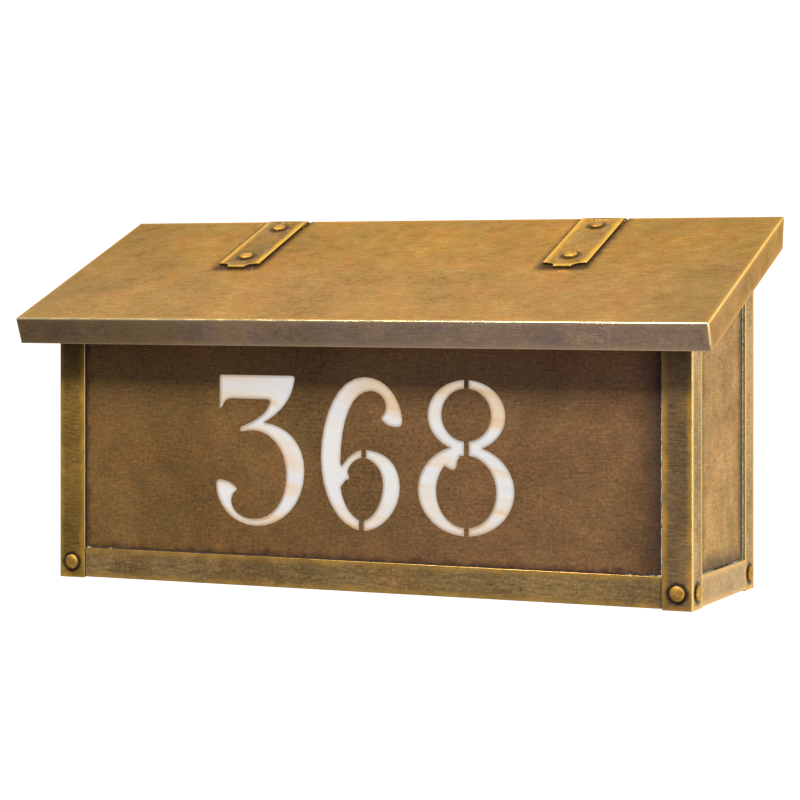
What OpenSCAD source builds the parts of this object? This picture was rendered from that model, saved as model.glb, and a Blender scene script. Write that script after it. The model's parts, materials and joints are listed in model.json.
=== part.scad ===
// Wall mounted mailbox of folded sheet brass with a sloping hinged lid.
// X runs to the right, the front faces -Y, the wall is the plane Y = 0 and Z is up.
// The origin is the centre of the four mounting screw holes. All sizes are millimetres.

/* [Box] */
// Width across the corner posts
body_w = 368; // [300:1:450]
// Depth from the wall to the faces of the front posts
body_d = 116; // [90:1:150]
// Gap between the back plate and the wall, held by the two spacers
wall_gap = 8; // [7.5:0.1:12]
// Thickness of the front and side panels
panel_t = 1.0; // [0.8:0.1:1.6]
// Thickness of the back plate
back_t = 1.2; // [0.8:0.1:2]
// Thickness of the bottom pan
pan_t = 1.0; // [0.8:0.1:1.6]
// Height of the pan's turned-up flanges
pan_flange_h = 14; // [10:1:20]
// Height of the pan's underside above the feet of the posts
pan_lift = 1.7; // [1:0.1:4]

/* [Posts and rails] */
// Width of each leg of a corner post
post_w = 16; // [10:0.5:25]
// Thickness of the post and rail strip
strip_t = 1.6; // [1:0.1:3]
// Height of the bottom rails
rail_h = 16; // [10:0.5:25]
// How far the posts reach below the rails
post_drop = 0.7; // [0:0.1:3]
// Hairline seam between a rail and a post
seam = 0.15; // [0.05:0.05:0.5]

/* [Lid] */
// Slope of the lid in degrees
lid_slope = 22; // [15:0.5:30]
// Height of the lid's upper front edge above the feet
lid_front_h = 144.3; // [120:0.1:180]
// How far the lid reaches in front of the posts
front_overhang = 22; // [10:0.5:35]
// How far the lid reaches past the posts at each side
side_overhang = 15; // [8:0.5:25]
// Thickness of the lid sheet
lid_t = 1.2; // [0.8:0.1:2]
// Height of the turned-down lip, measured square to the lid
lip_h = 15; // [8:0.5:25]
// How far the lower back corner of a side lip is cut forward
lip_rake = 9; // [6:0.5:14]
// Gap between the closed lid and the tops of the sides
lid_gap = 0.25; // [0.1:0.05:1]
// How far the lid sheet reaches behind the hinge pin
lid_behind = 3.4; // [2.8:0.1:3.6]

/* [Hinges] */
// Distance between the centres of the two straps
strap_spacing = 195; // [120:1:260]
// Width of a strap
strap_w = 25; // [16:0.5:35]
// Length of a strap from the lid's back edge to its tip
strap_l = 74; // [50:0.5:100]
// Thickness of a strap
strap_t = 1.5; // [1:0.1:2]
// Width of the tongue at the tip of a strap
tongue_w = 10; // [6:0.5:14]
// Radius of the hollow at each side of the tongue
cove_r = 4.5; // [3:0.5:6]
// Outer radius of the hinge barrel
barrel_r = 2.75; // [2.5:0.05:3.2]
// Radius of the hinge pin
pin_r = 1.25; // [1:0.05:1.5]
// Radial clearance between the pin and its barrel
pin_clear = 0.05; // [0.02:0.01:0.1]
// Distance from the hinge pin to the wall
pin_to_wall = 4.2; // [4:0.1:5]
// Length of each outer knuckle
knuckle_l = 8; // [5:0.5:10]
// Gap between two knuckles
knuckle_gap = 0.2; // [0.1:0.05:0.5]
// Radius of the peened heads on the pin
pin_head_r = 2.1; // [1.6:0.1:2.6]
// Thickness of the peened heads
pin_head_t = 0.8; // [0.5:0.1:1.5]
// Thickness of the leaf fixed to the back plate
leaf_t = 1.3; // [1:0.1:1.6]
// Height of the leaf fixed to the back plate
leaf_h = 22; // [15:1:40]
// Clearance around the outside of the barrel
barrel_gap = 0.3; // [0.2:0.05:0.6]

/* [Rivets] */
// Radius of a frame rivet head
frame_head_r = 4; // [3:0.1:5]
// Height of a frame rivet head
frame_head_h = 1.6; // [1:0.1:3]
// Height of the frame rivets above the feet
frame_rivet_h = 8.7; // [7:0.1:10]
// Radius of a strap rivet head
strap_head_r = 3.8; // [3:0.1:5]
// Height of a strap rivet head
strap_head_h = 1.8; // [1:0.1:2]
// Distance of the upper strap rivet from the lid's back edge
strap_rivet_upper = 15; // [10:0.5:20]
// Distance of the lower strap rivet from the lid's back edge
strap_rivet_lower = 59.5; // [40:0.5:66]
// Radius of a leaf rivet head
leaf_head_r = 2.8; // [2:0.1:3.5]
// Height of a leaf rivet head
leaf_head_h = 1.1; // [0.8:0.1:2]
// Sideways distance between the two rivets of a leaf
leaf_rivet_spacing = 14; // [8:0.5:18]
// Radius of every rivet shank
shank_r = 1.5; // [1:0.1:2]
// Radial clearance of a shank in its hole
shank_clear = 0.05; // [0.02:0.01:0.1]
// Radius of the hammered tail inside the box
tail_r = 2.4; // [2:0.1:3]
// Thickness of the hammered tail
tail_t = 0.8; // [0.5:0.1:1.5]

/* [House number] */
// Height of the numerals
numeral_h = 82; // [60:1:90]
// Height of the foot of the numerals above the feet of the posts
numeral_foot = 32.3; // [28:0.1:40]
// Distance of the numerals' centre to the right of the middle
numeral_shift = 1.3; // [-5:0.1:5]
// How far the glass reaches past the numerals on every side
glass_margin = 8; // [5:0.5:12]
// Thickness of the glass
glass_t = 3; // [2:0.1:4]
// Clearance between the glass and its clips
glass_clear = 0.1; // [0.05:0.05:0.5]
// Width of a glass clip
clip_w = 12; // [6:0.5:20]
// Thickness of the clip strip
clip_t = 1.0; // [0.6:0.1:1.5]
// Length of the soldered foot and of the nose of a clip
clip_l = 6; // [4:0.5:7]
// Distance between neighbouring clips
clip_spacing = 70; // [50:1:80]

/* [Mounting] */
// Height of the middle of the screw holes above the feet
mount_h = 97; // [80:1:110]
// Distance of the screw holes from the sides of the box
screw_inset = 40; // [30:1:60]
// Distance between the upper and lower screw holes
screw_rise = 100; // [60:1:120]
// Radius of a mounting screw hole
screw_r = 2.4; // [2:0.1:3.5]
// Height of the channel-shaped spacers behind the back plate
spacer_h = 16; // [12:1:24]
// Thickness of the spacer sheet
spacer_t = 1.2; // [0.8:0.1:2]
// How far a spacer reaches past its screw holes
spacer_end = 12; // [8:1:30]

/* [Hidden] */

$fn = 48;
curve_steps = 8;
corner_steps = 3;
eps = 0.01;

brass = [0.60, 0.44, 0.22];
dark_brass = [0.45, 0.33, 0.17];
bright_brass = [0.82, 0.64, 0.30];
opal = [0.93, 0.89, 0.82, 0.9];

feet_z = -mount_h;
rail_z = feet_z + post_drop;
front_y = -body_d;
half_w = body_w / 2;
behind_strip_y = front_y + strip_t;
behind_panel_y = behind_strip_y + panel_t;
inside_strip_x = half_w - strip_t;
inside_panel_x = inside_strip_x - panel_t;
box_back_y = -wall_gap;
behind_plate_y = box_back_y - back_t;
panels_back_y = behind_plate_y - strip_t;
rivet_hole_r = shank_r + shank_clear;
frame_grip = strip_t + panel_t + pan_t;
frame_rivet_z = feet_z + frame_rivet_h;
front_rivet_x = half_w - post_w / 2;
side_rivet_ys = [front_y + post_w / 2, box_back_y - post_w / 2];

// Top and underside of the closed lid above a point on the Y axis
function lid_top_z(y) = feet_z + lid_front_h + (y - front_y + front_overhang) * tan(lid_slope);
function lid_under_z(y) = lid_top_z(y) - lid_t / cos(lid_slope);
function wall_top_z(y) = lid_under_z(y) - lid_gap / cos(lid_slope);

// The strap's upper face runs into the top of the barrel, so the sheet's upper face is this far above the pin
lid_rise = barrel_r - strap_t;
hinge_y = -pin_to_wall;
hinge_z = lid_top_z(hinge_y) - lid_rise / cos(lid_slope);
lid_ahead = (body_d + front_overhang - pin_to_wall - lid_rise * sin(lid_slope)) / cos(lid_slope);
lid_half_w = half_w + side_overhang;
barrel_clear = barrel_r + barrel_gap;
notch_ahead = barrel_clear + leaf_t + 0.2;
middle_knuckle_l = strap_w - 2 * knuckle_l - 2 * knuckle_gap;
pin_half_l = strap_w / 2 + 0.1 + pin_head_t;
notch_half_w = pin_half_l + 0.5;
strap_rivet_ys = [lid_behind - strap_rivet_upper, lid_behind - strap_rivet_lower];
leaf_top_z = hinge_z - barrel_clear;
leaf_rivet_z = leaf_top_z - leaf_h * 0.55;

numeral_scale = numeral_h / 82;
numerals_w = 174.3 * numeral_scale;
numeral_x = numeral_shift - numerals_w / 2;
numeral_z = feet_z + numeral_foot;
glass_w = numerals_w + 2 * glass_margin;
glass_h = numeral_h + 2 * glass_margin;
glass_mid_z = numeral_z + numeral_h / 2;

// ---- shared shapes ----

// A flat shape drawn in Y and Z, given a thickness in X starting at x
module upright(x, thickness) {
    translate([x, 0, 0])
        rotate([90, 0, 90])
            linear_extrude(thickness)
                children();
}

// Lid coordinates: the pin is at the origin, -Y runs down the slope and Z is square to the sheet
module on_lid() {
    translate([0, hinge_y, hinge_z])
        rotate([lid_slope, 0, 0])
            children();
}

// Rivet standing in Z with its head above zero and its tail below the pieces it grips
module rivet(head_r, head_h, grip) {
    dome_r = (head_r * head_r + head_h * head_h) / (2 * head_h);
    intersection() {
        translate([0, 0, head_h - dome_r])
            sphere(dome_r);
        cylinder(h = head_h, r = head_r);
    }
    translate([0, 0, -grip])
        cylinder(h = grip + eps, r = shank_r);
    translate([0, 0, -grip - tail_t])
        cylinder(h = tail_t, r = tail_r);
}

// Turns something standing in Z to face out of the front of the box
module facing_front(x, y, z) {
    translate([x, y, z])
        rotate([90, 0, 0])
            children();
}

// Turns something standing in Z to face out of the right side of the box
module facing_right(x, y, z) {
    translate([x, y, z])
        rotate([0, 90, 0])
            children();
}

// Holes for the four wall screws through the back plate and the spacers
module screw_holes() {
    for (side = [-1, 1])
        for (end = [-1, 1])
            facing_front(side * (half_w - screw_inset), 1, end * screw_rise / 2)
                cylinder(h = wall_gap + back_t + 2, r = screw_r);
}

// Holes for the frame rivets, cut right through whatever they pass
module frame_rivet_holes() {
    for (side = [-1, 1])
        facing_front(side * front_rivet_x, behind_panel_y + 3, frame_rivet_z)
            cylinder(h = 10, r = rivet_hole_r);
    for (y = side_rivet_ys)
        facing_right(-half_w - 1, y, frame_rivet_z)
            cylinder(h = body_w + 2, r = rivet_hole_r);
}

// ---- numerals ----

// Points along an outline of corners [x, y], rounded corners [from, corner, to] and curves of four points.
// A curve leaves out its last point, where the next entry starts.
function cubic(p, t) = pow(1 - t, 3) * p[0] + 3 * t * pow(1 - t, 2) * p[1]
    + 3 * t * t * (1 - t) * p[2] + t * t * t * p[3];
function quadratic(p, t) = (1 - t) * (1 - t) * p[0] + 2 * t * (1 - t) * p[1] + t * t * p[2];
function steps_of(p) = len(p) == 4 ? curve_steps : len(p) == 3 ? corner_steps : 1;
function along(p, t) = len(p) == 4 ? cubic(p, t) : len(p) == 3 ? quadratic(p, t) : p;
function outline(parts) = [
    for (p = parts)
        for (i = [0 : steps_of(p) - 1])
            along(p, i / steps_of(p))
];
function ellipse(x, y, rx, ry) = [for (a = [0 : 7.5 : 359]) [x + rx * cos(a), y + ry * sin(a)]];

module three() {
    polygon(outline([
        [[1.9, 80], [2, 82], [4, 82]],
        [[46, 81.8], [48, 81.6], [47.5, 79.5]],
        [[47.5, 79.5], [46, 69.5], [40, 62.5], [29.2, 56.5]],
        [[29.2, 56.5], [43.2, 55], [53.4, 46], [53.4, 31]],
        [[53.4, 31], [53.4, 13], [40, 0.6], [24, 0.6]],
        [[24, 0.6], [10, 0.6], [-0.4, 11.2], [-0.4, 22.5]],
        [[-0.4, 22.5], [-0.4, 25.1], [2, 25.1]],
        [[2, 25.1], [6.5, 25], [10, 23.4], [12.5, 20.8]],
        [[12.5, 20.8], [13.2, 19.8], [11.8, 18.9]],
        [[11.8, 18.9], [9.4, 17.4], [9.2, 14]],
        [[9.2, 14], [9.4, 8], [15.4, 4.3], [22.5, 4.3]],
        [[22.5, 4.3], [34, 4.3], [42.2, 14.5], [42.2, 28.5]],
        [[42.2, 28.5], [42.2, 42], [33.5, 52.2], [22, 52.1]],
        [[22, 52.1], [19, 52], [16, 51.4]],
        [[16, 51.4], [14.2, 51], [14.2, 52.6]],
        [[14.2, 52.6], [14.2, 53.6], [15.2, 54]],
        [[15.2, 54], [24, 57.3], [31, 61.4], [32.4, 67.4]],
        [[32.4, 67.4], [32.5, 69.1], [30, 69.1]],
        [[9.5, 69.1], [6.2, 69], [5, 67.2], [3.9, 64.9]],
        [[3.9, 64.9], [2.2, 62.6], [0.7, 65]]
    ]));
}

module six() {
    difference() {
        polygon(outline([
            [[25.5, 81.8], [9, 81.8], [-0.5, 60], [-0.5, 39]],
            [[-0.5, 39], [-0.5, 19], [9, 2.3], [23.5, 0.3]],
            [[23.5, 0.3], [35.5, 0.3], [46, 12], [46, 24]],
            [[46, 24], [46, 37], [37, 43.4], [25, 43.4]],
            [[25, 43.4], [20, 43.2], [15.6, 39.6], [12.4, 35.2]],
            [[12.4, 35.2], [11.4, 34.2], [11.4, 36]],
            [[11.4, 36], [11.5, 60], [18.5, 74.5], [29, 74.5]],
            [[29, 74.5], [34, 74.5], [38.2, 70], [37.5, 65.5]],
            [[37.5, 65.5], [37.1, 63], [35.6, 61.5]],
            [[35.6, 61.5], [34.2, 60.4], [35.6, 59]],
            [[35.6, 59], [38, 56.6], [40.5, 55.8], [44.5, 55.8]],
            [[44.5, 55.8], [47.8, 55.8], [47.4, 60]],
            [[47.4, 60], [46, 71.5], [38, 81.8], [25.5, 81.8]]
        ]));
        polygon(outline([
            [[24.8, 39.2], [30.5, 38.4], [35.9, 33], [35.9, 25.5]],
            [[35.9, 25.5], [35.9, 14.5], [29.5, 6.5], [24, 5.4]],
            [[24, 5.4], [16, 8], [11.4, 17], [11.3, 27]],
            [[14.6, 27.1], [17.6, 27.4], [16, 30]],
            [[16, 30], [14.4, 32.5], [19, 39], [24.8, 39.2]]
        ]));
        translate([23.7, 37])
            square([2.3, 8]);
        translate([22.3, -1])
            square([2.4, 8]);
    }
}

module eight() {
    difference() {
        union() {
            polygon(ellipse(27.15, 62.7, 22.05, 18.5));
            polygon(ellipse(26.9, 23.7, 27.3, 23.7));
        }
        translate([27.1, 63])
            circle(13.75);
        difference() {
            polygon(ellipse(27.05, 23.15, 16.75, 18.85));
            polygon(outline([
                [12, 40], [14.9, 36.2], [17, 35.1],
                [[17, 35.1], [21.4, 33], [21.9, 36.6]],
                [[21.9, 36.6], [21.9, 41], [25.5, 41.6]],
                [20, 46]
            ]));
        }
        translate([26.1, -1])
            square([2.35, 84]);
    }
}

// The house number as a flat shape, its left foot at the origin
module numerals() {
    scale(numeral_scale) {
        three();
        translate([63.3, 0])
            six();
        translate([119.7, 0])
            eight();
    }
}

// ---- box ----

module back_plate() {
    color(dark_brass)
    difference() {
        translate([-half_w, behind_plate_y, feet_z])
            cube([body_w, back_t, wall_top_z(behind_plate_y) - feet_z]);
        screw_holes();
        leaf_rivet_holes();
    }
}

module bottom_pan() {
    pan_half_w = inside_panel_x;
    pan_d = panels_back_y - behind_panel_y;
    pan_z = feet_z + pan_lift;
    corner = pan_t + 1.5;
    color(brass)
    difference() {
        union() {
            translate([-pan_half_w, behind_panel_y, pan_z])
                cube([2 * pan_half_w, pan_d, pan_t]);
            for (y = [behind_panel_y, panels_back_y - pan_t])
                translate([-pan_half_w + corner, y, pan_z])
                    cube([2 * (pan_half_w - corner), pan_t, pan_flange_h]);
            for (x = [-pan_half_w, pan_half_w - pan_t])
                translate([x, behind_panel_y + corner, pan_z])
                    cube([pan_t, pan_d - 2 * corner, pan_flange_h]);
        }
        frame_rivet_holes();
    }
}

module front_panel() {
    top_z = wall_top_z(behind_strip_y);
    hem_d = 8;
    color(brass)
    difference() {
        union() {
            translate([-inside_panel_x, behind_strip_y, rail_z])
                cube([2 * inside_panel_x, panel_t, top_z - rail_z]);
            translate([-inside_panel_x, behind_strip_y, top_z - panel_t])
                cube([2 * inside_panel_x, hem_d, panel_t]);
        }
        translate([numeral_x, behind_panel_y + 1, numeral_z])
            rotate([90, 0, 0])
                linear_extrude(panel_t + 2)
                    numerals();
        frame_rivet_holes();
    }
}

module side_panel() {
    difference() {
        upright(inside_panel_x, panel_t)
            polygon([
                [behind_strip_y, rail_z], [panels_back_y, rail_z],
                [panels_back_y, wall_top_z(panels_back_y)], [behind_strip_y, wall_top_z(behind_strip_y)]
            ]);
        frame_rivet_holes();
    }
}

module right_side_panel() {
    color(brass) side_panel();
}

module left_side_panel() {
    color(brass) mirror([1, 0, 0]) side_panel();
}

module front_post() {
    difference() {
        union() {
            translate([half_w - post_w, front_y, feet_z])
                cube([post_w, strip_t, wall_top_z(front_y) - feet_z]);
            upright(inside_strip_x, strip_t)
                polygon([
                    [front_y, feet_z], [front_y + post_w, feet_z],
                    [front_y + post_w, wall_top_z(front_y + post_w)], [front_y, wall_top_z(front_y)]
                ]);
        }
        frame_rivet_holes();
    }
}

module front_right_post() {
    color(dark_brass) front_post();
}

module front_left_post() {
    color(dark_brass) mirror([1, 0, 0]) front_post();
}

module back_post() {
    difference() {
        union() {
            translate([half_w - post_w, panels_back_y, feet_z])
                cube([post_w, strip_t, wall_top_z(panels_back_y) - feet_z]);
            upright(inside_strip_x, strip_t)
                polygon([
                    [box_back_y - post_w, feet_z], [behind_plate_y, feet_z],
                    [behind_plate_y, wall_top_z(behind_plate_y)],
                    [box_back_y - post_w, wall_top_z(box_back_y - post_w)]
                ]);
        }
        frame_rivet_holes();
    }
}

module back_right_post() {
    color(dark_brass) back_post();
}

module back_left_post() {
    color(dark_brass) mirror([1, 0, 0]) back_post();
}

module front_rail() {
    rail_half_w = half_w - post_w - seam;
    color(dark_brass)
        translate([-rail_half_w, front_y, rail_z])
            cube([2 * rail_half_w, strip_t, rail_h]);
}

module side_rail() {
    translate([inside_strip_x, front_y + post_w + seam, rail_z])
        cube([strip_t, body_d - wall_gap - 2 * post_w - 2 * seam, rail_h]);
}

module right_rail() {
    color(dark_brass) side_rail();
}

module left_rail() {
    color(dark_brass) mirror([1, 0, 0]) side_rail();
}

module front_rivets() {
    color(bright_brass)
        for (side = [-1, 1])
            facing_front(side * front_rivet_x, front_y, frame_rivet_z)
                rivet(frame_head_r, frame_head_h, frame_grip);
}

module side_rivets() {
    for (y = side_rivet_ys)
        facing_right(half_w, y, frame_rivet_z)
            rivet(frame_head_r, frame_head_h, frame_grip);
}

module right_rivets() {
    color(bright_brass) side_rivets();
}

module left_rivets() {
    color(bright_brass) mirror([1, 0, 0]) side_rivets();
}

// Channel whose web lies on the wall and whose flanges carry the back plate
module spacer(z) {
    half_l = half_w - screw_inset + spacer_end;
    difference() {
        translate([-half_l, box_back_y, z - spacer_h / 2])
            cube([2 * half_l, wall_gap, spacer_h]);
        translate([-half_l - 1, box_back_y - 1, z - spacer_h / 2 + spacer_t])
            cube([2 * half_l + 2, wall_gap - spacer_t + 1, spacer_h - 2 * spacer_t]);
        screw_holes();
    }
}

module upper_spacer() {
    color(dark_brass) spacer(screw_rise / 2);
}

module lower_spacer() {
    color(dark_brass) spacer(-screw_rise / 2);
}

// ---- house number glass ----

module number_glass() {
    color(opal)
        translate([numeral_shift - glass_w / 2, behind_panel_y, glass_mid_z - glass_h / 2])
            cube([glass_w, glass_t, glass_h]);
}

// A clip's side view in Y and Z above the upper edge of the glass: foot on the panel, step, nose over the glass
module clip_profile() {
    step_y = behind_panel_y + glass_t + glass_clear;
    edge_z = glass_h / 2 + glass_clear;
    translate([behind_panel_y, edge_z])
        square([clip_t, clip_l]);
    translate([behind_panel_y, edge_z])
        square([step_y - behind_panel_y + clip_t, clip_t]);
    translate([step_y, edge_z - clip_l])
        square([clip_t, clip_l + clip_t]);
}

module glass_clips() {
    color(brass)
        translate([0, 0, glass_mid_z])
            for (flip = [0, 1])
                mirror([0, 0, flip])
                    for (i = [-1 : 1])
                        upright(numeral_shift + i * clip_spacing - clip_w / 2, clip_w)
                            clip_profile();
}

// ---- hinges ----

module leaf_rivet_holes() {
    for (side = [-1, 1])
        for (hand = [-1, 1])
            facing_front((side * strap_spacing + hand * leaf_rivet_spacing) / 2, 0, leaf_rivet_z)
                cylinder(h = body_d / 4, r = rivet_hole_r);
}

// Leaf on the back of the back plate; its middle is bent back under the pin and rolled round it
module hinge_leaf(side) {
    middle_x = side * strap_spacing / 2;
    bend_z = hinge_z - barrel_r;
    difference() {
        union() {
            translate([middle_x - strap_w / 2, box_back_y, leaf_top_z - leaf_h])
                cube([strap_w, leaf_t, leaf_h]);
            translate([middle_x - middle_knuckle_l / 2, box_back_y, leaf_top_z - leaf_h])
                cube([middle_knuckle_l, leaf_t, bend_z + leaf_t - leaf_top_z + leaf_h]);
            translate([middle_x - middle_knuckle_l / 2, box_back_y, bend_z])
                cube([middle_knuckle_l, wall_gap - pin_to_wall, leaf_t]);
            facing_right(middle_x - middle_knuckle_l / 2, hinge_y, hinge_z)
                cylinder(h = middle_knuckle_l, r = barrel_r);
        }
        facing_right(middle_x - strap_w, hinge_y, hinge_z)
            cylinder(h = 2 * strap_w, r = pin_r + pin_clear);
        leaf_rivet_holes();
    }
}

module left_hinge_leaf() {
    color(brass) hinge_leaf(-1);
}

module right_hinge_leaf() {
    color(brass) hinge_leaf(1);
}

module leaf_rivets(side) {
    for (hand = [-1, 1])
        facing_front((side * strap_spacing + hand * leaf_rivet_spacing) / 2, behind_plate_y, leaf_rivet_z)
            rivet(leaf_head_r, leaf_head_h, back_t + leaf_t);
}

module left_leaf_rivets() {
    color(bright_brass) leaf_rivets(-1);
}

module right_leaf_rivets() {
    color(bright_brass) leaf_rivets(1);
}

module hinge_pin(side) {
    facing_right(side * strap_spacing / 2 - pin_half_l, hinge_y, hinge_z) {
        cylinder(h = 2 * pin_half_l, r = pin_r);
        cylinder(h = pin_head_t, r = pin_head_r);
        translate([0, 0, 2 * pin_half_l - pin_head_t])
            cylinder(h = pin_head_t, r = pin_head_r);
    }
}

module left_hinge_pin() {
    color(bright_brass) hinge_pin(-1);
}

module right_hinge_pin() {
    color(bright_brass) hinge_pin(1);
}

// ---- lid ----

module lid() {
    under = lid_rise - lid_t;
    lip_z = lid_rise - lip_h;
    color(brass)
    on_lid()
    difference() {
        union() {
            translate([-lid_half_w, -lid_ahead, under])
                cube([2 * lid_half_w, lid_ahead + lid_behind, lid_t]);
            translate([-lid_half_w, -lid_ahead, lip_z])
                cube([2 * lid_half_w, lid_t, lip_h]);
            for (x = [-lid_half_w, lid_half_w - lid_t])
                upright(x, lid_t)
                    polygon([
                        [-lid_ahead, lip_z], [lid_behind - lip_rake, lip_z],
                        [lid_behind, under], [lid_behind, lid_rise], [-lid_ahead, lid_rise]
                    ]);
        }
        for (side = [-1, 1]) {
            translate([side * strap_spacing / 2 - notch_half_w, -notch_ahead, -1])
                cube([2 * notch_half_w, notch_ahead + lid_behind + 1, lid_rise + 2]);
            for (y = strap_rivet_ys)
                translate([side * strap_spacing / 2, y, -1])
                    cylinder(h = lid_rise + 2, r = rivet_hole_r);
        }
    }
}

// Flat shape of a strap around X = 0, from the pin down to its tip
module strap_shape() {
    tip_y = lid_behind - strap_l;
    shoulder_y = tip_y + cove_r + 0.5;
    slot_w = middle_knuckle_l + 2 * knuckle_gap;
    difference() {
        union() {
            translate([-strap_w / 2, shoulder_y])
                square([strap_w, -shoulder_y]);
            translate([-tongue_w / 2 - cove_r, tip_y])
                square([tongue_w + 2 * cove_r, shoulder_y - tip_y + 1]);
        }
        for (side = [-1, 1])
            translate([side * (tongue_w / 2 + cove_r), tip_y])
                circle(cove_r);
        translate([-slot_w / 2, -barrel_clear])
            square([slot_w, barrel_clear + 1]);
    }
}

module strap(side) {
    on_lid()
    translate([side * strap_spacing / 2, 0, 0])
    difference() {
        union() {
            translate([0, 0, lid_rise])
                linear_extrude(strap_t)
                    strap_shape();
            for (x = [-strap_w / 2, strap_w / 2 - knuckle_l])
                facing_right(x, 0, 0)
                    cylinder(h = knuckle_l, r = barrel_r);
        }
        facing_right(-strap_w, 0, 0)
            cylinder(h = 2 * strap_w, r = pin_r + pin_clear);
        for (y = strap_rivet_ys)
            translate([0, y, 0])
                cylinder(h = barrel_r + 1, r = rivet_hole_r);
    }
}

module left_strap() {
    color(bright_brass) strap(-1);
}

module right_strap() {
    color(bright_brass) strap(1);
}

module strap_rivets(side) {
    on_lid()
        for (y = strap_rivet_ys)
            translate([side * strap_spacing / 2, y, barrel_r])
                rivet(strap_head_r, strap_head_h, strap_t + lid_t);
}

module left_strap_rivets() {
    color(bright_brass) strap_rivets(-1);
}

module right_strap_rivets() {
    color(bright_brass) strap_rivets(1);
}

back_plate();
bottom_pan();
front_panel();
left_side_panel();
right_side_panel();
front_left_post();
front_right_post();
back_left_post();
back_right_post();
front_rail();
left_rail();
right_rail();
number_glass();
glass_clips();
front_rivets();
left_rivets();
right_rivets();
left_hinge_leaf();
right_hinge_leaf();
left_leaf_rivets();
right_leaf_rivets();
left_hinge_pin();
right_hinge_pin();
upper_spacer();
lower_spacer();
lid();
left_strap();
right_strap();
left_strap_rivets();
right_strap_rivets();
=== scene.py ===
import bpy, bmesh, json, math
from mathutils import Matrix, Vector, kdtree, noise


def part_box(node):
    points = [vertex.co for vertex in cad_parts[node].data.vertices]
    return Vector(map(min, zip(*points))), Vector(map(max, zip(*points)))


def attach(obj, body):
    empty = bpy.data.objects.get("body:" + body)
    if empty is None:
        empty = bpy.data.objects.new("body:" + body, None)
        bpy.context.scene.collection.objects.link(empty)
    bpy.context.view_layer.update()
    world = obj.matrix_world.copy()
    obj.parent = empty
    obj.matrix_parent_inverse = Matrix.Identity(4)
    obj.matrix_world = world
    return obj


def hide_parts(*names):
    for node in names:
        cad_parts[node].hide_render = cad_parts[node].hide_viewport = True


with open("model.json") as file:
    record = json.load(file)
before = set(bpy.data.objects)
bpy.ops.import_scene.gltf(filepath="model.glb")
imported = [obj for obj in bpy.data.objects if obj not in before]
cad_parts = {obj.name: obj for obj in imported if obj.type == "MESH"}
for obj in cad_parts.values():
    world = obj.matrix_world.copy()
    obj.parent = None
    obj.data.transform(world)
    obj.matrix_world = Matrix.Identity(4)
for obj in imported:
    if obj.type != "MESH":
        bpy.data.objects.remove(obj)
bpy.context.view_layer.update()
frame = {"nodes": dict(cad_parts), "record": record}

mm = 0.001
far = 0.3                        # metres; a limit that no surface comes near

# sizes that several pieces share; the wall is y = 0 and the front looks along -y
box = {
    "halfWidth": 184 * mm,
    "frontY": -116 * mm,         # face of the front posts
    "backY": -8 * mm,            # the box stands this far off the wall
    "plateThickness": 1.2 * mm,
    "feetZ": -97 * mm,           # lowest point of the posts
    "railZ": -96.3 * mm,         # lowest edge of the rails and sheets
    "stripThickness": 1.6 * mm,
    "postWidth": 16 * mm,
    "railHeight": 16 * mm,
    "seam": 0.15 * mm,           # between the end of a rail and a post
}
lid = {
    "slope": math.radians(22),
    "frontHeight": 144.3 * mm,   # upper front edge above the feet
    "frontOverhang": 22 * mm,
    "sideOverhang": 15 * mm,
    "thickness": 1.2 * mm,
    "lipHeight": 15 * mm,
    "lipRake": 9 * mm,           # the back ends of the side lips lean forward
    "behindPin": 3.4 * mm,
    "rise": 1.25 * mm,           # upper face above the hinge pin
    "pinY": -4.2 * mm,
    "gap": 0.25 * mm,            # between the lid and the sheets
    "foldRadius": 0.9 * mm,
    "notchHalf": 13.9 * mm,      # half the width of the slot for a barrel
    "notchAhead": 4.55 * mm,
}
strap = {
    "x": 97.5 * mm,
    "width": 25 * mm,
    "tip": 70.6 * mm,            # ahead of the pin
    "top": 2.75 * mm,            # upper face above the pin
    "thickness": 1.5 * mm,
    "barrelAhead": 7 * mm,       # the flat ends and the rolled knuckles begin here
    "rivets": (11.6 * mm, 56.1 * mm),
}
rivet = {
    "frameHead": (4 * mm, 1.6 * mm),    # radius and height of a head on the frame
    "strapHead": (3.8 * mm, 1.8 * mm),
    "shank": 1.5 * mm,
    "tail": (2.4 * mm, 0.8 * mm),
    "frameGrip": 3.6 * mm,
    "strapGrip": 2.7 * mm,
    "height": -88.3 * mm,
    "inset": 8 * mm,                    # from the outer edge of a post
}
screwHole = {"x": 144 * mm, "z": 50 * mm, "radius": 2.4 * mm}


# height of the lid's upper face at a place between its front edge and the wall
def lidTopZ(y):
    fromFront = y - box["frontY"] + lid["frontOverhang"]
    return box["feetZ"] + lid["frontHeight"] + fromFront * math.tan(lid["slope"])


# height of the top of the posts and sheets, just under the lid
def wallTopZ(y):
    return lidTopZ(y) - (lid["thickness"] + lid["gap"]) / math.cos(lid["slope"])


pinZ = lidTopZ(lid["pinY"]) - lid["rise"] / math.cos(lid["slope"])
levelAhead = lid["pinY"] - box["frontY"] + lid["frontOverhang"] - lid["rise"] * math.sin(lid["slope"])
lidAhead = levelAhead / math.cos(lid["slope"])
lidHalf = box["halfWidth"] + lid["sideOverhang"]
lidLow = (-lidHalf, -lidAhead, lid["rise"] - lid["lipHeight"])
lidHigh = (lidHalf, lid["behindPin"], lid["rise"])
onLid = Matrix.Translation((0, lid["pinY"], pinZ)) @ Matrix.Rotation(lid["slope"], 4, "X")

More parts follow.
